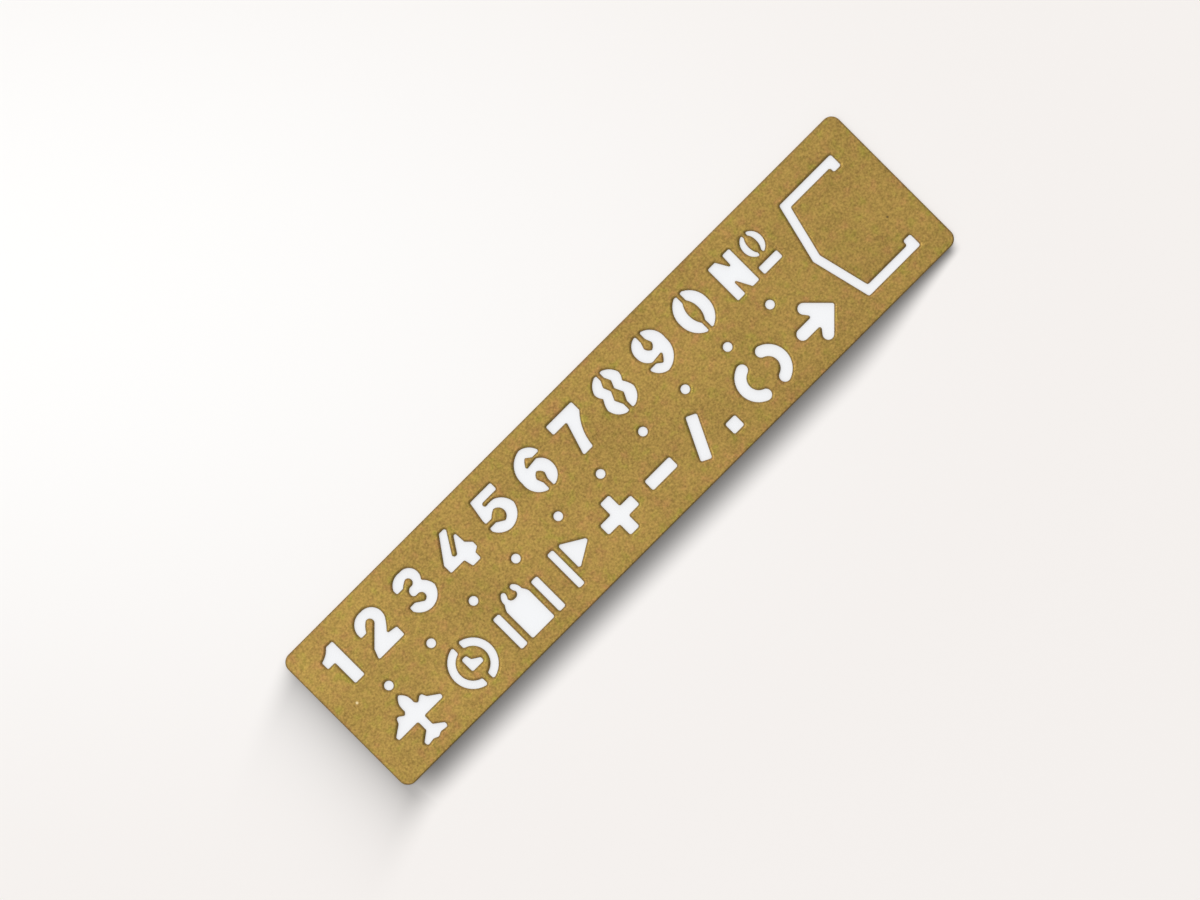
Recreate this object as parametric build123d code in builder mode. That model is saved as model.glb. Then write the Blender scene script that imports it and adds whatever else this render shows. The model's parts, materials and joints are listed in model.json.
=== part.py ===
from build123d import *
from math import radians, tan
import os

# A flat lettering stencil cut from one brass sheet, with a page clip at its right end.
# It lies on its back. The origin is the middle of its underside, +X runs along the
# reading direction towards the clip, +Y towards the tops of the digits, and +Z is up.

# Sheet
plate_length = 130.0
plate_width = 30.0
sheet_thickness = 0.5
plate_corner_radius = 1.8

# Page clip: the outer line of the slot that frees the tongue, and the tongue's root
clip_margin = 5.15
clip_length = 14.7
clip_width = 21.3
clip_point_length = 2.6
clip_drop = 0.55
slot_width = 1.5
slot_hook_length = 1.0
slot_hook_width = 1.65
slot_corner_radius = 0.4
root_relief = 0.03

# Ruler: a row of round holes, the first one a full step from the sheet's left end
dot_pitch = 10.0
dot_count = 10
dot_diameter = 1.6
dot_row_drop = 0.5

# Digits: 1 to 9 and 0, each drawn about its own place in the row
digit_height = 7.7
digit_foot = 3.72
digit_bridge = 0.8
digit_corner_radius = 0.28
first_digit_share = 0.05
digit_pitch_share = 0.0854
nine_size_share = 0.97

# Numero sign: an N, a raised ring in two halves and a bar under the ring
letter_n_place_share = 0.878
ring_place_share = 0.954
ring_width = 4.0
ring_height = 4.6
ring_counter_width = 1.75
ring_counter_height = 3.6
ring_foot = 6.45
ring_bar_length = 4.25
ring_bar_height = 1.5

# Symbols. A place is given along the writing length and across the sheet's width from
# its middle line, as shares of the two.
symbol_corner_radius = 0.35
plane_length = 9.7
plane_place_shares = (0.090, -0.414)
clock_diameter = 8.6
clock_stroke = 1.37
clock_bridge = 1.3
clock_place_shares = (0.205, -0.260)
case_height = 8.95
case_place_shares = (0.3195, -0.397)
strap_height = 6.9
strap_width = 1.45
strap_spacing = 8.95
pole_height = 7.7
pole_width = 1.3
pennant_gap = 1.1
pennant_height = 5.5
pennant_length = 4.6
flag_place_shares = (0.4055, -0.383)
plus_length = 7.25
math_stroke = 2.1
plus_place_shares = (0.521, -0.254)
minus_length = 5.85
minus_place_shares = (0.610, -0.254)
slash_length = 7.9
slash_stroke = 2.0
slash_lean = 64.2
slash_place_shares = (0.689, -0.260)
stop_size = 2.3
stop_place_shares = (0.7415, -0.350)
bracket_radius = 3.05
bracket_stroke = 2.0
bracket_spread = 2.3
bracket_sweep = 138.0
bracket_place_shares = (0.8275, -0.261)
arrow_length = 8.4
arrow_place_shares = (0.9015, -0.263)

# Every outline below is a list of corners with the bow of the side that ends there.
# A corner is given across and up, as shares of the shape's leading size. A bow is how
# far an arc stands out from its chord, as a share of the chord, and zero is straight.
one_shares = [
    (0.11, 0.00, 0), (0.39, 0.00, 0), (0.39, 1.00, 0), (0.20, 1.00, 0),
    (-0.10, 0.82, -0.09), (-0.10, 0.63, 0), (0.11, 0.63, 0),
]
two_shares = [
    (-0.39, 0.00, 0), (0.39, 0.00, 0), (0.39, 0.24, 0), (0.12, 0.28, 0),
    (0.35, 0.56, 0.03), (0.05, 1.01, 0.30), (-0.34, 0.72, 0.20), (-0.34, 0.60, 0),
    (-0.18, 0.60, 0), (0.00, 0.80, -0.07), (0.08, 0.61, -0.42), (-0.30, 0.23, 0),
]
three_shares = [
    (-0.35, 0.21, 0), (-0.01, -0.01, 0.13), (0.40, 0.31, 0.18), (0.25, 0.58, 0.10),
    (0.03, 1.02, 0.36), (-0.34, 0.83, 0.17), (-0.34, 0.72, 0), (-0.16, 0.72, 0),
    (0.01, 0.83, -0.05), (0.01, 0.63, -0.50), (-0.13, 0.52, 0.22), (-0.05, 0.42, 0.25),
    (0.01, 0.42, 0), (-0.01, 0.20, -0.50), (-0.19, 0.32, 0), (-0.35, 0.32, 0),
]
four_shares = [
    (0.05, 0.00, 0), (0.29, 0.00, 0), (0.29, 0.17, 0), (0.41, 0.24, 0), (0.41, 0.37, 0),
    (0.28, 0.50, 0), (0.26, 0.84, 0), (-0.01, 0.43, 0), (-0.12, 0.48, -0.35),
    (0.18, 0.96, 0), (0.13, 1.01, 0.20), (0.01, 1.01, 0), (-0.40, 0.44, 0),
    (-0.40, 0.22, 0), (0.00, 0.22, 0),
]
five_shares = [
    (-0.35, 0.22, 0), (0.00, -0.01, 0.13), (0.43, 0.36, 0.18), (0.16, 0.71, 0.14),
    (-0.05, 0.71, 0.04), (-0.05, 0.82, -0.50), (0.36, 0.82, 0), (0.36, 1.01, 0),
    (-0.26, 1.01, 0), (-0.34, 0.54, 0), (-0.34, 0.44, 0), (-0.17, 0.44, 0),
    (0.00, 0.56, -0.05), (0.02, 0.20, -0.42), (-0.16, 0.31, 0), (-0.35, 0.31, 0),
]
six_shares = [
    (0.09, 0.00, 0), (0.40, 0.36, 0.20), (0.21, 0.68, 0.15), (-0.06, 0.65, 0),
    (-0.08, 0.72, -0.30), (0.04, 0.86, -0.05), (0.17, 0.76, 0), (0.38, 0.76, 0),
    (0.06, 1.06, 0.16), (-0.38, 0.50, 0.20), (-0.04, 0.00, 0.20), (-0.04, 0.19, 0),
    (-0.10, 0.34, 0), (0.02, 0.48, -0.12), (0.14, 0.34, -0.12), (0.09, 0.19, 0),
]
seven_shares = [
    (-0.22, 0.00, 0), (0.06, 0.00, 0), (0.40, 0.76, -0.09), (0.40, 1.01, 0),
    (-0.38, 1.01, 0), (-0.38, 0.77, 0), (0.02, 0.77, 0),
]
letter_n_shares = [
    (0.00, 0.00, 0), (0.22, 0.00, 0), (0.22, 0.32, 0), (0.28, 0.32, -0.39), (0.45, 0.00, 0),
    (0.65, 0.00, 0), (0.65, 0.94, 0), (0.44, 0.94, 0), (0.43, 0.68, 0), (0.37, 0.68, -0.39),
    (0.22, 0.94, 0), (0.00, 0.94, 0),
]
clock_hands_shares = [
    (-0.12, -0.11, 0), (0.19, -0.11, 0), (0.19, -0.02, 0), (0.03, 0.08, 0),
    (0.00, 0.20, 0), (-0.12, 0.20, 0),
]

# Halves, drawn up the right side. The eight and the zero start at their bridge's edge,
# the others on their own middle line.
half_eight_shares = [
    (0.00, -0.01, 0), (0.07, -0.01, 0), (0.34, 0.31, 0.15), (0.23, 0.56, 0.06),
    (0.31, 0.75, 0.10), (0.06, 1.02, 0.12), (0.00, 1.02, 0), (0.00, 0.88, 0),
    (0.07, 0.73, 0), (0.00, 0.56, 0), (0.09, 0.36, 0), (0.00, 0.17, 0),
]
half_zero_shares = [
    (0.00, 0.00, 0), (0.05, 0.00, 0), (0.36, 0.51, 0.15), (0.07, 1.01, 0.15),
    (0.00, 1.01, 0), (0.00, 0.81, 0), (0.09, 0.51, -0.08), (0.00, 0.22, -0.08),
]
half_plane_shares = [
    (0.00, 0.00, 0), (0.09, 0.04, 0), (0.24, 0.02, 0), (0.25, 0.10, 0), (0.075, 0.23, 0),
    (0.075, 0.435, 0), (0.53, 0.435, 0), (0.54, 0.50, 0), (0.34, 0.64, 0), (0.30, 0.73, 0),
    (0.25, 0.73, 0), (0.16, 0.66, 0), (0.11, 0.72, 0), (0.10, 0.87, 0.05), (0.00, 1.00, 0.06),
]
half_case_shares = [
    (0.00, 0.00, 0), (0.29, 0.00, 0), (0.29, 0.68, 0), (0.22, 0.81, 0.05), (0.13, 1.00, 0.15),
    (0.07, 0.97, 0.10), (0.11, 0.85, 0.10), (0.00, 0.76, -0.22),
]
half_arrow_shares = [
    (0.00, 0.00, 0), (0.125, 0.125, 0.207), (0.125, 0.52, 0), (0.27, 0.41, 0),
    (0.435, 0.575, 0.50), (0.00, 1.01, 0),
]

# A side that turns less than this from the one before it runs on smoothly, and a rounded
# corner takes up no more than this share of its shorter side
smooth_turn = 25.0
side_use_share = 0.45

# How far along a side, as a share of its length, its direction at a corner is read
near_end_share = 0.03


def draw_outline(corner_shares, leading_size, bridge_width=0.0):
    """Draw a closed outline from its shares, starting half a bridge's width out."""
    corners = []
    for across_share, up_share, bow_share in corner_shares:
        across = bridge_width / 2 + across_share * leading_size
        corners.append(Vector(across, up_share * leading_size))
    for number, (across_share, up_share, bow_share) in enumerate(corner_shares):
        start = corners[number - 1]
        end = corners[number]
        if bow_share == 0:
            Line(start, end)
        else:
            chord = end - start
            bow = Vector(chord.Y, -chord.X) * bow_share
            ThreePointArc(start, (start + end) / 2 + bow, end)


def whole_shape(corner_shares, leading_size):
    """A cut-out that is drawn as one closed outline."""
    with BuildSketch() as shape:
        with BuildLine():
            draw_outline(corner_shares, leading_size)
        make_face()
    return shape.sketch


def mirrored_shape(half_shares, leading_size, bridge_width=0.0):
    """A cut-out that is drawn as its right half and mirrored, with or without a bridge."""
    with BuildSketch() as shape:
        with BuildLine():
            draw_outline(half_shares, leading_size, bridge_width)
        make_face()
        mirror(about=Plane.YZ)
    return shape.sketch


def direction_from(corner, side):
    """The way a side sets off from a corner, whichever way round it was drawn."""
    near_share = near_end_share
    from_start = (side.position_at(0) - corner).length
    from_end = (side.position_at(1) - corner).length
    if from_end < from_start:
        near_share = 1 - near_end_share
    return side.position_at(near_share) - corner


def round_corners(builder, radius, root_x=None):
    """Round a sketch's corners. Short sides limit the radius, and root_x keeps its own sharp."""
    corners = []
    for vertex in builder.vertices():
        corner = Vector(vertex)
        sides = [edge for edge in builder.edges() if vertex in edge.vertices()]
        directions = [direction_from(corner, side) for side in sides]
        turn = 180 - directions[0].get_angle(directions[1])
        if turn < smooth_turn:
            continue
        if root_x is not None and abs(corner.X - root_x) < root_relief:
            continue
        shortest = min(side.length for side in sides)
        fitting = shortest * side_use_share / tan(radians(turn / 2))
        corners.append((corner, min(radius, fitting)))
    for corner, corner_radius in corners:
        fillet(builder.vertices().sort_by_distance(corner)[0], corner_radius)


def eased(shape, radius):
    """A cut-out with its corners rounded."""
    with BuildSketch() as cutout:
        add(shape)
        round_corners(cutout, radius)
    return cutout.sketch


# The nine is the six turned round, a little smaller
small_six = whole_shape(six_shares, digit_height * nine_size_share)
small_six_middle = small_six.bounding_box().center()
with BuildSketch() as nine:
    with Locations(small_six_middle * 2):
        add(small_six, rotation=180)

digits = [
    whole_shape(one_shares, digit_height),
    whole_shape(two_shares, digit_height),
    whole_shape(three_shares, digit_height),
    whole_shape(four_shares, digit_height),
    whole_shape(five_shares, digit_height),
    whole_shape(six_shares, digit_height),
    whole_shape(seven_shares, digit_height),
    mirrored_shape(half_eight_shares, digit_height, digit_bridge),
    nine.sketch,
    mirrored_shape(half_zero_shares, digit_height, digit_bridge),
]

# Raised ring of the numero sign over its bar, on the digits' foot line
with BuildSketch() as ring:
    with Locations((0, ring_foot - digit_foot + ring_height / 2)):
        Ellipse(ring_width / 2, ring_height / 2)
        Ellipse(ring_counter_width / 2, ring_counter_height / 2, mode=Mode.SUBTRACT)
        Rectangle(digit_bridge, ring_height, mode=Mode.SUBTRACT)
    with Locations((0, ring_bar_height / 2)):
        Rectangle(ring_bar_length, ring_bar_height)

# Clock: a dial ring parted by two bridges, and both hands in one cut
with BuildSketch() as clock:
    Circle(clock_diameter / 2)
    Circle(clock_diameter / 2 - clock_stroke, mode=Mode.SUBTRACT)
    Rectangle(clock_bridge, clock_diameter, mode=Mode.SUBTRACT)
    add(whole_shape(clock_hands_shares, clock_diameter))

# Suitcase: the case with its handle, and a strap on each side
with BuildSketch() as case:
    add(mirrored_shape(half_case_shares, case_height))
    with Locations((-strap_spacing / 2, strap_height / 2), (strap_spacing / 2, strap_height / 2)):
        Rectangle(strap_width, strap_height)

# Flag: a pole and a pennant
pennant_left = pole_width / 2 + pennant_gap
with BuildSketch() as flag:
    with Locations((0, pole_height / 2)):
        Rectangle(pole_width, pole_height)
    with BuildLine():
        Polyline(
            (pennant_left, pole_height),
            (pennant_left, pole_height - pennant_height),
            (pennant_left + pennant_length, pole_height - pennant_height / 2),
            close=True,
        )
    make_face()

with BuildSketch() as plus:
    Rectangle(plus_length, math_stroke)
    Rectangle(math_stroke, plus_length)

with BuildSketch() as minus:
    Rectangle(minus_length, math_stroke)

with BuildSketch() as slash:
    Rectangle(slash_length, slash_stroke, rotation=slash_lean)

with BuildSketch() as stop:
    Rectangle(stop_size, stop_size)

# Brackets: two round-ended arcs, back to back
with BuildLine() as bracket_line:
    CenterArc((-bracket_spread / 2, 0), bracket_radius, 180 - bracket_sweep / 2, bracket_sweep)
with BuildSketch() as brackets:
    SlotArc(bracket_line.edge(), bracket_stroke)
    mirror(about=Plane.YZ)

# Arrow, drawn upwards and laid over to point at the clip
with BuildSketch() as arrow:
    add(mirrored_shape(half_arrow_shares, arrow_length), rotation=-90)

# The rows share the length from the sheet's left end to the point of the clip's slot
plate_left = -plate_length / 2
writing_length = plate_length - clip_margin - clip_length
cutouts = []
for number, digit in enumerate(digits):
    along = plate_left + writing_length * (first_digit_share + number * digit_pitch_share)
    cutouts.append(((along, digit_foot), digit, digit_corner_radius))
for place_share, shape in [
    (letter_n_place_share, whole_shape(letter_n_shares, digit_height)),
    (ring_place_share, ring.sketch),
]:
    along = plate_left + writing_length * place_share
    cutouts.append(((along, digit_foot), shape, digit_corner_radius))
for place_shares, shape in [
    (plane_place_shares, mirrored_shape(half_plane_shares, plane_length)),
    (clock_place_shares, clock.sketch),
    (case_place_shares, case.sketch),
    (flag_place_shares, flag.sketch),
    (plus_place_shares, plus.sketch),
    (minus_place_shares, minus.sketch),
    (slash_place_shares, slash.sketch),
    (stop_place_shares, stop.sketch),
    (bracket_place_shares, brackets.sketch),
    (arrow_place_shares, arrow.sketch),
]:
    along = plate_left + writing_length * place_shares[0]
    cutouts.append(((along, plate_width * place_shares[1]), shape, symbol_corner_radius))

# Clip: its outer line, and the neck of sheet that is left between the slot's hooks
slot_right = plate_length / 2 - clip_margin
slot_left = slot_right - clip_length
neck_width = clip_width - 2 * (slot_width + slot_hook_length)
root_line = slot_right - slot_hook_width / 2
with BuildSketch() as clip_outline:
    with BuildLine():
        Polyline(
            (slot_left, -clip_drop),
            (slot_left + clip_point_length, -clip_drop - clip_width / 2),
            (slot_right, -clip_drop - clip_width / 2),
            (slot_right, -clip_drop + clip_width / 2),
            (slot_left + clip_point_length, -clip_drop + clip_width / 2),
            close=True,
        )
    make_face()

# The sheet's side of the neck ends just short of the root line, and so does the tongue's
neck_length = slot_hook_width / 2 - root_relief / 2
with BuildSketch() as clip_opening:
    add(clip_outline.sketch)
    with Locations((slot_right - neck_length / 2, -clip_drop)):
        Rectangle(neck_length, neck_width, mode=Mode.SUBTRACT)
    round_corners(clip_opening, slot_corner_radius, root_line)

with BuildSketch() as tongue_outline:
    add(clip_outline.sketch)
    offset(amount=-slot_width, kind=Kind.INTERSECTION, mode=Mode.REPLACE)
    with Locations((slot_right - slot_hook_width / 2, -clip_drop)):
        Rectangle(slot_hook_width, clip_width, mode=Mode.SUBTRACT)
    with Locations((root_line - root_relief / 2 - neck_length / 2, -clip_drop)):
        Rectangle(neck_length, neck_width)
    round_corners(tongue_outline, slot_corner_radius, root_line)

# Sheet with every cut-out
dot_places = []
for step in range(dot_count):
    dot_places.append((plate_left + dot_pitch * (step + 1), -dot_row_drop))
with BuildPart() as stencil_plate:
    with BuildSketch():
        RectangleRounded(plate_length, plate_width, plate_corner_radius)
        for place, shape, corner_radius in cutouts:
            with Locations(place):
                add(eased(shape, corner_radius), mode=Mode.SUBTRACT)
        with Locations(dot_places):
            Circle(dot_diameter / 2, mode=Mode.SUBTRACT)
        add(clip_opening.sketch, mode=Mode.SUBTRACT)
    extrude(amount=sheet_thickness)

# Tongue of the page clip
with BuildPart() as clip_tongue:
    with BuildSketch():
        add(tongue_outline.sketch)
    extrude(amount=sheet_thickness)

stencil_plate.part.label = "stencil_plate"
clip_tongue.part.label = "clip_tongue"
os.makedirs("parts", exist_ok=True)
export_step(stencil_plate.part, "parts/stencil_plate.step")
export_step(clip_tongue.part, "parts/clip_tongue.step")
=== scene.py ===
import json
import math

import bmesh
import bpy
import numpy as np
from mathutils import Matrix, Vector
from mathutils.bvhtree import BVHTree
from mathutils.geometry import delaunay_2d_cdt


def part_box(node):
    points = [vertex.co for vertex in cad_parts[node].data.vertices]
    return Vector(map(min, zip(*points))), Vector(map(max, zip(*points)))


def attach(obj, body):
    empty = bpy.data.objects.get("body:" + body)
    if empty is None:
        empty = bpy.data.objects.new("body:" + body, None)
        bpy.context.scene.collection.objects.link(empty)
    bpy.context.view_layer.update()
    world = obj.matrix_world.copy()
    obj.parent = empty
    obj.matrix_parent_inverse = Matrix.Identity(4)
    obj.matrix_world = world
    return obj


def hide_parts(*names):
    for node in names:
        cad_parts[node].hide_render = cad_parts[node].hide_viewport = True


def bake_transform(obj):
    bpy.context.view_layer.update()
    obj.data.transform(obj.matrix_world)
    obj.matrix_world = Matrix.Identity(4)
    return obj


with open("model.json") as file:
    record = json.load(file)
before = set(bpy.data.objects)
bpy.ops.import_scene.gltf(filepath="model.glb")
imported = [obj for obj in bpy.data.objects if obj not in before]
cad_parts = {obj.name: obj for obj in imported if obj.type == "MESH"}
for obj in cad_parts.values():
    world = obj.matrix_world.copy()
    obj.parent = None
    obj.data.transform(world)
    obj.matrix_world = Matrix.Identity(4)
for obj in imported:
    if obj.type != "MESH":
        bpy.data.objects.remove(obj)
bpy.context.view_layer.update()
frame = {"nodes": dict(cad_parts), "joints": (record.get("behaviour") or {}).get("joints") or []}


# Brass sheet

# One thin sheet of soft brass with digits, a numero sign, symbols and ruler holes
# punched through it. The punch drags the edge of each cut-out down a little, the
# trimmed outline stays crisper, and handling has left the face satin and mottled.
MILLIMETRE = 0.001

# edges, in millimetres
cut_roll = (0.45, 0.16)         # width and depth of the roll along a cut-out
trim_roll = (0.20, 0.12)        # the same along the sheet's own outline
roll_curve = 1.35               # a roll falls faster the nearer it is to the cut
corner_round = 0.04             # the last sharp corner above the wall
under_round = 0.05              # the edge underneath
edge_reach = 2.0                # how far from a cut its nearness is still told apart

# points that carry the mesh, in millimetres
nearest_points = 0.07           # along an outline
furthest_points = 0.4
corner_share = 0.3              # the first row inside a cut, as a share of the corner's round
row_shares = (0.2, 0.4, 0.6, 0.8, 1.0, 1.15)    # the next rows, as shares of the roll's width
row_slack = 0.97                # a row's point keeps this share of its depth from every cut
face_pitch = 0.5                # spacing on the flat upper face
face_margin = 0.12              # and how far it stays from a roll's last row
under_pitch = 1.5               # the same two underneath
under_margin = 0.3
least_turn = 0.5                # a corner sharper than this has no point inside it
least_lean = 0.6                # and any other puts its point no further in than this allows
same_place = 1e-3               # places nearer than this count as one
search_reach = 0.1              # how near its place a ruler hole or the tongue's root is looked for
doubles = 1e-7                  # and mesh points nearer than this, in metres
upward = 0.9                    # the least rise of an upper face's normal

# ruler holes, in millimetres
hole_count = 10
hole_step = 10.0
hole_radius = 0.8
first_hole = (-55.0, -0.5)
hole_points = 28


def add_sockets(tree, way, kinds):
    """Named sockets on a tree's way in or out."""
    for socket, kind in kinds.items():
        tree.interface.new_socket(socket, in_out=way, socket_type="NodeSocket" + kind)


def add_node(tree, kind, settings=None, sockets=None):
    """A node with its settings made, and its sockets linked or set."""
    node = tree.nodes.new(kind)
    for setting, value in (settings or {}).items():
        setattr(node, setting, value)
    for socket, value in (sockets or {}).items():
        if isinstance(value, bpy.types.NodeSocket):
            tree.links.new(value, node.inputs[socket])
        else:
            node.inputs[socket].default_value = value
    return node


def face_outlines(node):
    """The outlines of a node's upper face in millimetres, each with its metal on the left."""
    skin = bmesh.new()
    skin.from_mesh(node.data)
    bmesh.ops.remove_doubles(skin, verts=skin.verts, dist=doubles)
    following = {}
    for edge in skin.edges:
        upper = [loop for loop in edge.link_loops if loop.face.normal.z > upward]
        if len(upper) == 1:
            start, end = upper[0].vert, upper[0].link_loop_next.vert
            following[start.index] = (end.index, start.co / MILLIMETRE)
    outlines = []
    while following:
        index = min(following)
        outline = []
        while index in following:
            index, place = following.pop(index)
            outline.append((place.x, place.y))
        outlines.append(outline)
    skin.free()
    return outlines


def ruler_hole_outlines():
    """The row of ruler holes, stepped along the sheet by Geometry Nodes."""
    tree = bpy.data.node_groups.new("ruler_holes", "GeometryNodeTree")
    add_sockets(tree, "INPUT", {"Holes": "Int", "Step": "Float", "Radius": "Float",
                                "Points": "Int", "First Hole": "Vector", "Finish": "Material"})
    add_sockets(tree, "OUTPUT", {"Geometry": "Geometry"})
    entry = add_node(tree, "NodeGroupInput").outputs
    offset = add_node(tree, "ShaderNodeCombineXYZ", {}, {"X": entry["Step"]})
    line = add_node(tree, "GeometryNodeMeshLine", {}, {
        "Count": entry["Holes"],
        "Start Location": entry["First Hole"],
        "Offset": offset.outputs[0],
    })
    circle = add_node(tree, "GeometryNodeMeshCircle", {"fill_type": "NGON"}, {
        "Vertices": entry["Points"],
        "Radius": entry["Radius"],
    })
    placed = add_node(tree, "GeometryNodeInstanceOnPoints", {}, {
        "Points": line.outputs[0],
        "Instance": circle.outputs[0],
    })
    realized = add_node(tree, "GeometryNodeRealizeInstances", {}, {0: placed.outputs[0]})
    finished = add_node(tree, "GeometryNodeSetMaterial", {}, {
        "Geometry": realized.outputs[0],
        "Material": entry["Finish"],
    })
    add_node(tree, "NodeGroupOutput", {}, {"Geometry": finished.outputs[0]})

    stand = bpy.data.objects.new("ruler_holes", bpy.data.meshes.new("ruler_holes"))
    bpy.context.scene.collection.objects.link(stand)
    row = stand.modifiers.new("ruler_holes", "NODES")
    row.node_group = tree
    values = {"Holes": hole_count, "Step": hole_step, "Radius": hole_radius,
              "Points": hole_points, "First Hole": (*first_hole, 0.0)}
    for item in tree.interface.items_tree:
        if item.name in values:
            row[item.identifier] = values[item.name]
    evaluated = stand.evaluated_get(bpy.context.evaluated_depsgraph_get())
    stepped = bpy.data.meshes.new_from_object(evaluated)
    holes = []
    for hole in stepped.polygons:
        rim = [stepped.vertices[corner].co for corner in hole.vertices]
        around = 1 if hole.normal.z > 0 else -1
        holes.append([(place.x, place.y) for place in rim[::-around]])
    bpy.data.meshes.remove(stepped)
    bpy.data.objects.remove(stand)
    return holes


def at_seam(place, seam_x):
    """Whether a place lies on the seam at the tongue's root."""
    return abs(place[0] - seam_x) < same_place


def row_depths(roll):
    """How far in from a cut the rows of points lie that carry its rolled edge."""
    return [corner_round * corner_share, corner_round] + [roll[0] * share for share in row_shares]


def spaced_outline(outline, seam_x):
    """The same outline with its points evenly near, and rows of them at the seam's ends."""
    kept = []
    for place in outline:
        if kept and not at_seam(place, seam_x) and math.dist(kept[-1], place) < nearest_points:
            continue
        kept.append(place)
    spaced = []
    for start, end in zip(kept, kept[1:] + kept[:1]):
        length = math.dist(start, end)
        steps = math.ceil(length / furthest_points)
        shares = [step / steps for step in range(steps)]
        if at_seam(start, seam_x) and at_seam(end, seam_x):
            near = [depth / length for depth in row_depths(cut_roll)]
            middle = [share for share in shares if near[-1] < share < 1 - near[-1]]
            shares = sorted([0.0] + near + [1 - share for share in near] + middle)
        for share in shares:
            spaced.append((start[0] + (end[0] - start[0]) * share,
                           start[1] + (end[1] - start[1]) * share))
    return spaced


def inner_row(outline, depth):
    """Points at one depth inside an outline's metal."""
    row = []
    for number, place in enumerate(outline):
        before = Vector(outline[number - 1])
        here = Vector(place)
        after = Vector(outline[(number + 1) % len(outline)])
        arriving = (here - before).normalized()
        leaving = (after - here).normalized()
        inward = Vector((-arriving.y - leaving.y, arriving.x + leaving.x))
        if inward.length < least_turn:
            continue
        lean = inward.length / 2
        row.append(here + inward.normalized() * depth / max(lean, least_lean))
    return row


def metal_triangles(triangles, walls):
    """The triangles that lie on the metal's side of the walls."""
    beside = {}
    for number, triangle in enumerate(triangles):
        for side in range(3):
            beside[(triangle[side - 1], triangle[side])] = number
    blocked = set(walls) | {(end, start) for start, end in walls}
    waiting = [beside[wall] for wall in walls if wall in beside]
    metal = set(waiting)
    while waiting:
        triangle = triangles[waiting.pop()]
        for side in range(3):
            pair = (triangle[side - 1], triangle[side])
            other = beside.get((pair[1], pair[0]))
            if pair not in blocked and other is not None and other not in metal:
                metal.add(other)
                waiting.append(other)
    return [triangles[number] for number in sorted(metal)]


def cut_finder(outlines, seam_x):
    """A finder of the distance from a place to the nearest wall of some outlines."""
    corners, walls = [], []
    for outline in outlines:
        for start, end in zip(outline, outline[1:] + outline[:1]):
            if at_seam(start, seam_x) and at_seam(end, seam_x):
                continue
            base = len(corners)
            corners += [(*start, -1), (*end, -1), (*end, 1), (*start, 1)]
            walls.append((base, base + 1, base + 2, base + 3))
    tree = BVHTree.FromPolygons(corners, walls)
    return lambda place: tree.find_nearest((place[0], place[1], 0))[3]


def round_drop(gap, radius):
    """How far a quarter-round edge lies below its face at that distance from the cut."""
    short = max(radius - gap, 0)
    return radius - math.sqrt(radius * radius - short * short)


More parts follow.
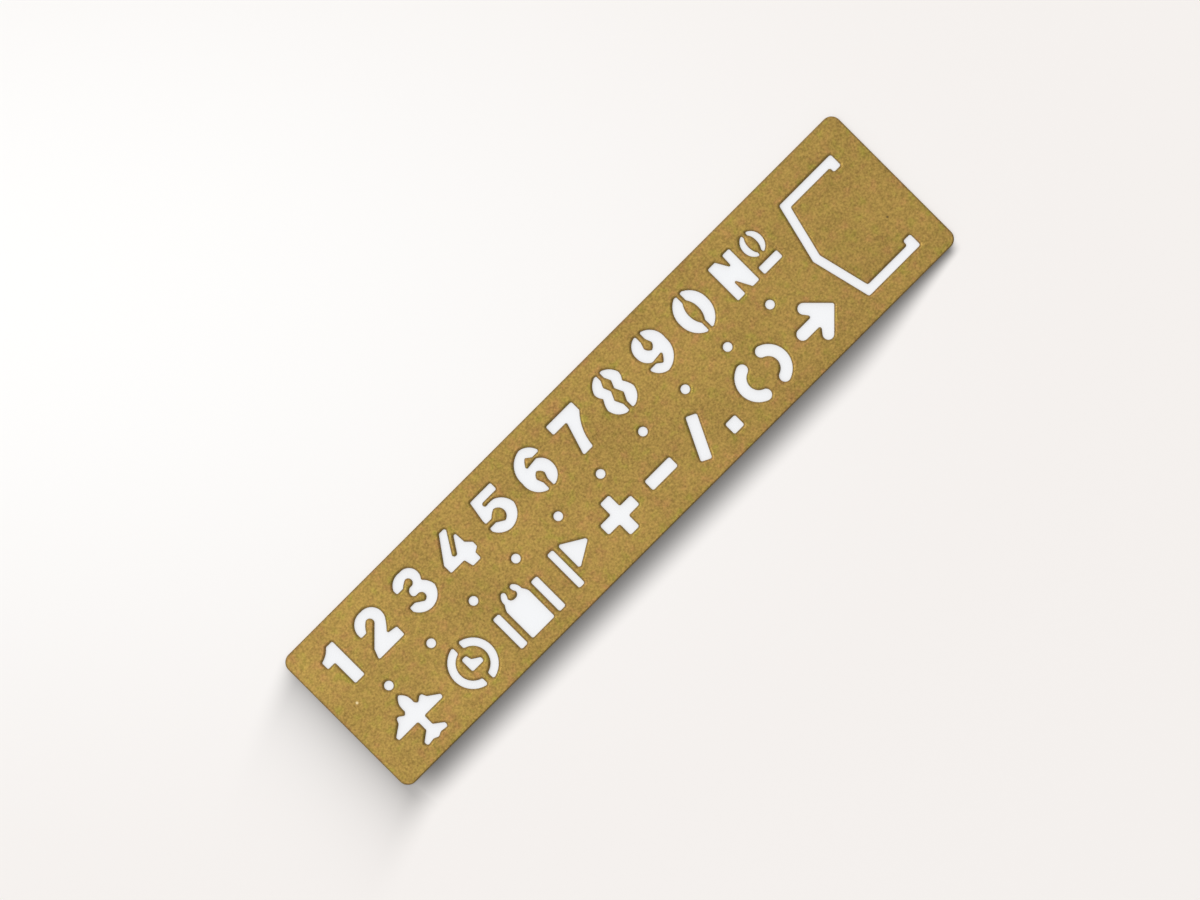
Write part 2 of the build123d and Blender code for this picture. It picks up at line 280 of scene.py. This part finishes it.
def sheet_metal(name, rolled, seam_x, low, high):
    """A closed piece of sheet. rolled lists its outlines, each with its roll."""
    rolled = [(spaced_outline(outline, seam_x), roll) for outline, roll in rolled]
    outlines = [outline for outline, _ in rolled]
    finders = []
    for roll in sorted({roll for _, roll in rolled}):
        alike = [outline for outline, own in rolled if own == roll]
        finders.append((roll, cut_finder(alike, seam_x)))
    corners = [Vector(place) for outline in outlines for place in outline]
    walls = []
    first = 0
    for outline in outlines:
        count = len(outline)
        walls += [(first + step, first + (step + 1) % count) for step in range(count)]
        first += count
    lowest = Vector((min(place.x for place in corners), min(place.y for place in corners)))
    highest = Vector((max(place.x for place in corners), max(place.y for place in corners)))
    points, faces, gaps, wall_faces = [], [], [], set()

    def nearest_cut(place):
        return min(finder(place) for _, finder in finders)

    def add_face(rows, pitch, clear, drop, level, inward):
        """One face, with rows of points along its cuts and a grid in its open parts."""
        loose = []
        for outline, roll in rolled:
            for depth in rows(roll):
                loose += [place for place in inner_row(outline, depth)
                          if nearest_cut(place) > depth * row_slack]
        for across in np.arange(lowest.x + pitch / 2, highest.x, pitch):
            for up in np.arange(lowest.y + pitch / 2, highest.y, pitch):
                place = Vector((across, up))
                if all(finder(place) > clear(roll) for roll, finder in finders):
                    loose.append(place)
        places, _, triangles, origins, _, _ = delaunay_2d_cdt(
            corners + loose, walls, [], 0, same_place / 10)
        renamed = {}
        for number, sources in enumerate(origins):
            for source in sources:
                renamed[source] = number
        own_walls = [(renamed[start], renamed[end]) for start, end in walls]
        first = len(points)
        for place in places:
            points.append((place.x, place.y, level - inward * drop(place)))
            gaps.append(min(nearest_cut(place), edge_reach))
        for triangle in metal_triangles([tuple(corner) for corner in triangles], own_walls):
            order = triangle if inward > 0 else triangle[::-1]
            faces.append(tuple(first + corner for corner in order))
        return [(first + start, first + end) for start, end in own_walls]

    def upper_drop(place):
        deepest = max(roll[1] * max(1 - finder(place) / roll[0], 0) ** roll_curve
                      for roll, finder in finders)
        return round_drop(nearest_cut(place), corner_round) + deepest

    upper = add_face(
        rows=row_depths,
        pitch=face_pitch,
        clear=lambda roll: roll[0] * row_shares[-1] + face_margin,
        drop=upper_drop,
        level=high,
        inward=1,
    )
    lower = add_face(
        rows=lambda roll: [under_round],
        pitch=under_pitch,
        clear=lambda roll: under_round + under_margin,
        drop=lambda place: round_drop(nearest_cut(place), under_round),
        level=low,
        inward=-1,
    )
    for (top_start, top_end), (base_start, base_end) in zip(upper, lower):
        wall_faces.add(len(faces))
        faces.append((base_start, base_end, top_end, top_start))

    mesh = bpy.data.meshes.new(name)
    mesh.from_pydata([Vector(place) * MILLIMETRE for place in points], [], faces)
    edge_gap = mesh.attributes.new("edge_gap", "FLOAT", "POINT")
    edge_gap.data.foreach_set("value", np.array(gaps, np.float32))
    finish = [number in wall_faces for number in range(len(faces))]
    mesh.polygons.foreach_set("material_index", finish)
    mesh.polygons.foreach_set("use_smooth", [True] * len(faces))
    trimmed = bmesh.new()
    trimmed.from_mesh(mesh)
    unused = [corner for corner in trimmed.verts if not corner.link_faces]
    bmesh.ops.delete(trimmed, geom=unused, context="VERTS")
    bmesh.ops.remove_doubles(trimmed, verts=trimmed.verts, dist=doubles)
    trimmed.to_mesh(mesh)
    trimmed.free()
    for edge in mesh.edges:
        ends = [mesh.vertices[corner].co / MILLIMETRE for corner in edge.vertices]
        if all(at_seam(end, seam_x) for end in ends):
            edge.use_edge_sharp = True
    piece = bpy.data.objects.new(name, mesh)
    bpy.context.scene.collection.objects.link(piece)
    return piece


def figure(tree, operation, first, second=0.0):
    """One sum on two values."""
    return add_node(tree, "ShaderNodeMath", {"operation": operation},
                    {0: first, 1: second}).outputs[0]


def product(tree, first, *others):
    """Values multiplied one after another."""
    for other in others:
        first = figure(tree, "MULTIPLY", first, other)
    return first


def scaled(tree, vector, scale):
    """A place or a colour multiplied by one value."""
    return add_node(tree, "ShaderNodeVectorMath", {"operation": "SCALE"},
                    {0: vector, "Scale": scale}).outputs[0]


def millimetre_place(tree):
    """A point's own place on its object, in millimetres."""
    return scaled(tree, add_node(tree, "ShaderNodeTexCoord").outputs["Object"], 1 / MILLIMETRE)


def eased(tree, value, low, high, to_low=0.0, to_high=1.0):
    """A value moved smoothly from one range to another and held there."""
    return add_node(tree, "ShaderNodeMapRange", {"interpolation_type": "SMOOTHSTEP"}, {
        "Value": value, "From Min": low, "From Max": high, "To Min": to_low, "To Max": to_high,
    }).outputs[0]


def toned(tree, share, first, second):
    """Two colours mixed by a share."""
    return add_node(tree, "ShaderNodeMix", {"data_type": "RGBA"},
                    {0: share, 6: first, 7: second}).outputs[2]


def speckle(tree, place, per_millimetre, detail, shift):
    """Fractal noise with that many features a millimetre, swinging about zero."""
    moved = add_node(tree, "ShaderNodeVectorMath", {"operation": "ADD"},
                     {0: place, 1: (shift, -shift, shift)}).outputs[0]
    noise = add_node(tree, "ShaderNodeTexNoise", {},
                     {"Vector": moved, "Scale": per_millimetre, "Detail": detail}).outputs[0]
    return figure(tree, "SUBTRACT", noise, 0.5)


# finish, with distances in millimetres
mottled_strip = (0.3, 1.7)      # from a cut, where the tarnish grows stronger
mottled_gain = 1.6              # and by how much
tarnish_swing = (0.01, 0.26)    # how far the mottle swings before a tarnish shows, and is full
cloud_share = 0.35              # light and dark patches as wide as a digit
oxide_and_shade_strip = (0.02, 0.42)       # from a cut, where the edge oxide and painted shade fade out
oxide_and_shade_wobble = 0.3               # and how unevenly
satin_roughness = 0.46
mottled_roughness = 0.25
worn_roughness = 0.10


def tarnish_group():
    """Grain, mottled tarnish, and edge wear and oxide with painted shade along the cuts, shared by
    the face and the cut walls.
    """
    group = bpy.data.node_groups.new("brass_tarnish", "ShaderNodeTree")
    add_sockets(group, "INPUT", {
        "Place": "Vector", "Edge Gap": "Float", "Metal": "Color", "Warm Tarnish": "Color",
        "Olive Tarnish": "Color", "Edge Oxide And Shade": "Color", "Edge Share": "Float",
        "Grain": "Float", "Mottle": "Float",
    })
    add_sockets(group, "OUTPUT", {"Color": "Color", "Roughness": "Float", "Height": "Float"})
    entry = add_node(group, "NodeGroupInput").outputs
    place = entry["Place"]
    grain = speckle(group, place, per_millimetre=2.8, detail=1.5, shift=0.0)
    mottle = speckle(group, place, per_millimetre=0.6, detail=3.0, shift=37.0)
    cloud = speckle(group, place, per_millimetre=0.08, detail=2.0, shift=71.0)
    wobble = speckle(group, place, per_millimetre=1.6, detail=2.0, shift=53.0)

    near_cut = eased(group, entry["Edge Gap"], *mottled_strip, mottled_gain, 1.0)
    mottle_share = product(group, entry["Mottle"], near_cut)
    warm = product(group, eased(group, mottle, *tarnish_swing), mottle_share)
    other_swing = [-swing for swing in tarnish_swing]
    olive = product(group, eased(group, mottle, *other_swing), mottle_share)
    color = toned(group, warm, entry["Metal"], entry["Warm Tarnish"])
    color = toned(group, olive, color, entry["Olive Tarnish"])

    light = product(group, grain, entry["Grain"])
    light = figure(group, "ADD", light, product(group, cloud, cloud_share))
    color = scaled(group, color, figure(group, "ADD", light, 1.0))

    # a darker band along every cut: partly oxide, partly painted shade on the rolled edges; the
    # same mask makes the edges rougher
    gap = figure(group, "ADD", entry["Edge Gap"], product(group, wobble, oxide_and_shade_wobble))
    worn_and_shaded = product(group, eased(group, gap, *oxide_and_shade_strip, 1.0, 0.0), entry["Edge Share"])
    color = toned(group, worn_and_shaded, color, entry["Edge Oxide And Shade"])
    roughness = figure(group, "ADD", product(group, mottle, mottled_roughness), satin_roughness)
    roughness = figure(group, "ADD", roughness, product(group, worn_and_shaded, worn_roughness))
    add_node(group, "NodeGroupOutput", {},
             {"Color": color, "Roughness": roughness, "Height": grain})
    return group


tarnish = tarnish_group()
plate_low, plate_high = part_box("stencil_plate")
sheet_low, sheet_high = plate_low.z / MILLIMETRE, plate_high.z / MILLIMETRE
grain_relief = 2e-5             # in metres
relief_share = 0.3
mark_core = 0.4                 # a mark is at its strongest within this share of its radius
mark_strength = 0.8


def brass_material(name, grain, mottle, edge_share, marks=()):
    """Satin brass whose pattern lies by its place on the sheet."""
    brass = bpy.data.materials.new(name)
    brass.use_nodes = True
    tree = brass.node_tree
    shader = tree.nodes["Principled BSDF"]
    place = millimetre_place(tree)
    gap = add_node(tree, "ShaderNodeAttribute", {"attribute_name": "edge_gap"}).outputs["Fac"]
    worn_and_shaded = add_node(tree, "ShaderNodeGroup", {"node_tree": tarnish}, {
        "Place": place,
        "Edge Gap": gap,
        "Metal": (0.370, 0.240, 0.0640, 1),
        "Warm Tarnish": (0.424, 0.239, 0.0785, 1),
        "Olive Tarnish": (0.327, 0.251, 0.0510, 1),
        # the edge colour stands for oxide and for painted shade on the rolled edges
        "Edge Oxide And Shade": (0.150, 0.095, 0.040, 1),
        "Edge Share": edge_share,
        "Grain": grain,
        "Mottle": mottle,
    }).outputs
    color = worn_and_shaded["Color"]
    for (across, up), radius, mark in marks:
        apart = add_node(tree, "ShaderNodeVectorMath", {"operation": "DISTANCE"},
                         {0: place, 1: (across, up, sheet_high)}).outputs["Value"]
        share = eased(tree, apart, radius * mark_core, radius, mark_strength, 0.0)
        color = toned(tree, share, color, mark)
    bump = add_node(tree, "ShaderNodeBump", {}, {
        "Height": worn_and_shaded["Height"],
        "Strength": relief_share,
        "Distance": grain_relief,
    })
    tree.links.new(color, shader.inputs["Base Color"])
    tree.links.new(worn_and_shaded["Roughness"], shader.inputs["Roughness"])
    tree.links.new(bump.outputs[0], shader.inputs["Normal"])
    shader.inputs["Metallic"].default_value = 1.0
    return brass


# each mark's place, its radius in millimetres and its colour
bright_nick = ((-60.8, 1.2), 0.32, (0.80, 0.66, 0.38, 1))
dark_pit = ((59.2, -4.0), 0.30, (0.10, 0.07, 0.03, 1))
# edge_share sets how strongly the edges take the oxide and painted shade
face_brass = brass_material("satin_brass", grain=1.22, mottle=0.8, edge_share=0.56,
                            marks=(bright_nick, dark_pit))
wall_brass = brass_material("sheared_brass", grain=0.8, mottle=0.5, edge_share=0.50)

root_x = frame["joints"][0]["pos_m"][0] / MILLIMETRE
hole_middles = [(first_hole[0] + hole_step * number, first_hole[1])
                for number in range(hole_count)]
plate_outlines = []
near_root = []
for outline in face_outlines(frame["nodes"]["stencil_plate"]):
    middle = np.mean(outline, axis=0)
    near_root += [place[0] for place in outline if abs(place[0] - root_x) < search_reach]
    if min(math.dist(middle, hole) for hole in hole_middles) > search_reach:
        right_end = max(place[0] for place in outline)
        is_trim = right_end > plate_high.x / MILLIMETRE - same_place
        plate_outlines.append((outline, trim_roll if is_trim else cut_roll))
seam_x = float(np.mean(near_root))
plate_outlines += [(rim, cut_roll) for rim in ruler_hole_outlines()]
sheet = sheet_metal("brass_sheet", plate_outlines, seam_x, sheet_low, sheet_high)
sheet.data.materials.append(face_brass)
sheet.data.materials.append(wall_brass)
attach(sheet, "plate")
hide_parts("stencil_plate")


# Page-clip tongue

# The pointed tongue is the same brass, left standing when the slot was punched round three of its
# sides. It grows out of the sheet at its root, where it is built as a piece of its own.
tongue_outline = [
    (seam_x if abs(across - root_x) < search_reach else across, up)
    for across, up in face_outlines(frame["nodes"]["clip_tongue"])[0]
]
tongue = sheet_metal("page_clip", [(tongue_outline, cut_roll)], seam_x, sheet_low, sheet_high)
tongue.data.materials.append(face_brass)
tongue.data.materials.append(wall_brass)
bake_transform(tongue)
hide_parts("clip_tongue")


# Table

# A plain pale table top under the sheet, with a painted glow that makes it a little brighter
# towards the window side, and a wide soft shadow painted beside the sheet's lower and left edges.
table_reach = 3.0               # in metres
table_level = -2e-5
plain_share = 0.55              # of what is seen, the share that no lamp changes
table_tone = (0.918, 0.884, 0.860, 1)

# places and lengths on the table in millimetres from here on
# the glow is painted light: the table's colour is made brighter towards the window side
glow_tone = (1.0, 0.995, 0.985, 1)
glow_middle = (-54.0, 92.0, 0.0)
glow_size = (190, 110, 1)
glow_turn = -45                 # in degrees
card_tone = (0.925, 0.933, 0.950, 1)
card_fade = (0.4, 0.1)          # how far inside the sheet's outline the card ends

half_length = plate_high.x / MILLIMETRE    # of the sheet
half_width = plate_high.y / MILLIMETRE
lower_shade = 0.76              # darkest share of the painted shadow below the sheet
lower_narrowing = (34.0, 70.0)  # along the sheet, where that shadow grows narrower
lower_reach = (6.3, 1.6)        # and how wide it is before and after
lower_rise = -0.4               # it comes up to full under the sheet's edge
lower_end = (62.2, 64.8)        # along the sheet, where it fades out on the right
lower_start = (-72.0, -58.0)    # and on the left
left_shade = 0.49               # darkest share of the painted shadow on the left
left_reach = 5.2                # the distance in which it falls by nearly two thirds
left_drift = 0.35               # how far down it drifts for each millimetre outward
left_top = (10.7, 15.7)         # across the sheet, where it fades out at the top
left_foot = (-21.5, -15.4)      # and at the foot
left_rise = (-60.8, -63.8)      # it comes up to full under the sheet's left end


def table_paint():
    """Matt pale paint that keeps real shadows, with a painted soft shadow and a painted glow in its
    colour.
    """
    paint = bpy.data.materials.new("table_paint")
    paint.use_nodes = True
    tree = paint.node_tree
    shader = tree.nodes["Principled BSDF"]
    place = millimetre_place(tree)
    split = add_node(tree, "ShaderNodeSeparateXYZ", {}, {0: place}).outputs

    # the painted glow towards the window
    turned = add_node(tree, "ShaderNodeMapping", {"vector_type": "TEXTURE"}, {
        "Vector": place,
        "Location": glow_middle,
        "Rotation": (0, 0, math.radians(glow_turn)),
        "Scale": glow_size,
    }).outputs[0]
    away = add_node(tree, "ShaderNodeVectorMath", {"operation": "LENGTH"},
                    {0: turned}).outputs["Value"]
    color = toned(tree, eased(tree, away, 0.0, 1.0), glow_tone, table_tone)

    # the cooler card that shows through the cut-outs
    inside = []
    for axis, half in (("X", half_length), ("Y", half_width)):
        aside = figure(tree, "ABSOLUTE", split[axis])
        inside.append(eased(tree, aside, half - card_fade[0], half - card_fade[1], 1.0, 0.0))
    color = toned(tree, product(tree, *inside), color, card_tone)

    # the painted soft shadow below the sheet's lower edge, which narrows towards the right
    below = figure(tree, "SUBTRACT", -half_width, split["Y"])
    reach = eased(tree, split["X"], *lower_narrowing, *lower_reach)
    lower = product(
        tree,
        eased(tree, figure(tree, "DIVIDE", below, reach), 0.0, 1.0, lower_shade, 0.0),
        eased(tree, below, lower_rise, 0.0),
        eased(tree, split["X"], *lower_end, 1.0, 0.0),
        eased(tree, split["X"], *lower_start),
    )

    # and the wider, fainter painted shadow beside its left edge, which drifts down as it spreads
    beside = figure(tree, "MAXIMUM", figure(tree, "SUBTRACT", -half_length, split["X"]), 0.0)
    fall = figure(tree, "POWER", math.e, figure(tree, "DIVIDE", beside, -left_reach))
    drifted = figure(tree, "ADD", split["Y"], product(tree, beside, left_drift))
    left = product(
        tree,
        fall,
        left_shade,
        eased(tree, drifted, *left_top, 1.0, 0.0),
        eased(tree, drifted, *left_foot),
        eased(tree, split["X"], *left_rise),
    )
    # the two painted shadows darken the table's colour; no lamp casts them
    kept = figure(tree, "SUBTRACT", 1.0, figure(tree, "MAXIMUM", lower, left))
    shaded = scaled(tree, color, kept)
    tree.links.new(shaded, shader.inputs["Base Color"])
    shader.inputs["Roughness"].default_value = 0.9
    shader.inputs["Specular IOR Level"].default_value = 0.2

    ray = add_node(tree, "ShaderNodeLightPath").outputs
    seen = figure(tree, "MAXIMUM", ray["Is Camera Ray"], ray["Is Glossy Ray"])
    seen = figure(tree, "MAXIMUM", seen, ray["Is Transmission Ray"])
    plain = add_node(tree, "ShaderNodeEmission", {}, {"Color": shaded, "Strength": 1.0})
    both = add_node(tree, "ShaderNodeMixShader", {}, {
        0: product(tree, seen, plain_share),
        1: shader.outputs[0],
        2: plain.outputs[0],
    })
    tree.links.new(both.outputs[0], tree.nodes["Material Output"].inputs["Surface"])
    return paint


table_corners = [
    (across * table_reach, up * table_reach, table_level)
    for across, up in ((-1, -1), (1, -1), (1, 1), (-1, 1))
]
table_mesh = bpy.data.meshes.new("table")
table_mesh.from_pydata(table_corners, [], [(0, 1, 2, 3)])
table = bpy.data.objects.new("table", table_mesh)
bpy.context.scene.collection.objects.link(table)
table.data.materials.append(table_paint())


# Light

# A soft window lamp from beyond the sheet's upper edge, a weak low lamp from its right,
# and a pale room that is dimmer on the side away from the window.
def level_way(turn):
    """The level direction at a turn in degrees from the sheet's long side."""
    return Vector((math.cos(math.radians(turn)), math.sin(math.radians(turn)), 0))


def soft_lamp(name, turn, height, size, watts, distance=1.0):
    """A round lamp aimed at the sheet from a turn and a height in degrees."""
    light = bpy.data.lights.new(name, "AREA")
    light.shape = "DISK"
    light.size = size
    light.energy = watts
    holder = bpy.data.objects.new(name, light)
    way = level_way(turn) * math.cos(math.radians(height))
    way.z = math.sin(math.radians(height))
    holder.location = way * distance
    holder.rotation_euler = way.to_track_quat("Z", "Y").to_euler()
    bpy.context.scene.collection.objects.link(holder)


soft_lamp("window_lamp", turn=128, height=64, size=0.6, watts=1.7)
soft_lamp("low_lamp", turn=40, height=18, size=0.5, watts=1.6)

room_light = 0.96
room_dim_share = 0.30
room_dim_turn = -60.0
dim_facing = (0.10, 0.70)       # the dimming comes in as a direction turns to that side
dim_above = (0.10, 0.40)        # and as it rises from the level
room = bpy.data.worlds.new("room")
bpy.context.scene.world = room
room.use_nodes = True
sky = room.node_tree
way = add_node(sky, "ShaderNodeTexCoord").outputs["Generated"]
facing = add_node(sky, "ShaderNodeVectorMath", {"operation": "DOT_PRODUCT"},
                  {0: way, 1: level_way(room_dim_turn)}).outputs["Value"]
above = add_node(sky, "ShaderNodeSeparateXYZ", {}, {0: way}).outputs["Z"]
dimmed = product(sky, eased(sky, facing, *dim_facing), eased(sky, above, *dim_above))
strength = eased(sky, dimmed, 0.0, 1.0, room_light, room_light * room_dim_share)
sky.links.new(strength, sky.nodes["Background"].inputs["Strength"])
sky.nodes["Background"].inputs["Color"].default_value = (1, 1, 1, 1)


# Camera

# A long lens that looks straight down on the sheet, turned so that the sheet climbs
# to the right.
frame_width = 0.20035           # what the picture's width takes in, in metres
camera_turn = -44.9866
aim_right = -0.003284
aim_up = 0.000105
camera = bpy.data.cameras.new("camera")
camera.lens = 200
camera.sensor_width = 36
camera.clip_end = 10
holder = bpy.data.objects.new("camera", camera)
bpy.context.scene.collection.objects.link(holder)
right = level_way(camera_turn)
up = Vector((-right.y, right.x, 0))
stand_off = camera.lens / camera.sensor_width * frame_width
holder.location = right * aim_right + up * aim_up + Vector((0, 0, plate_high.z + stand_off))
holder.rotation_euler = (0, 0, math.radians(camera_turn))
bpy.context.scene.camera = holder
bpy.context.scene.view_settings.view_transform = "Standard"
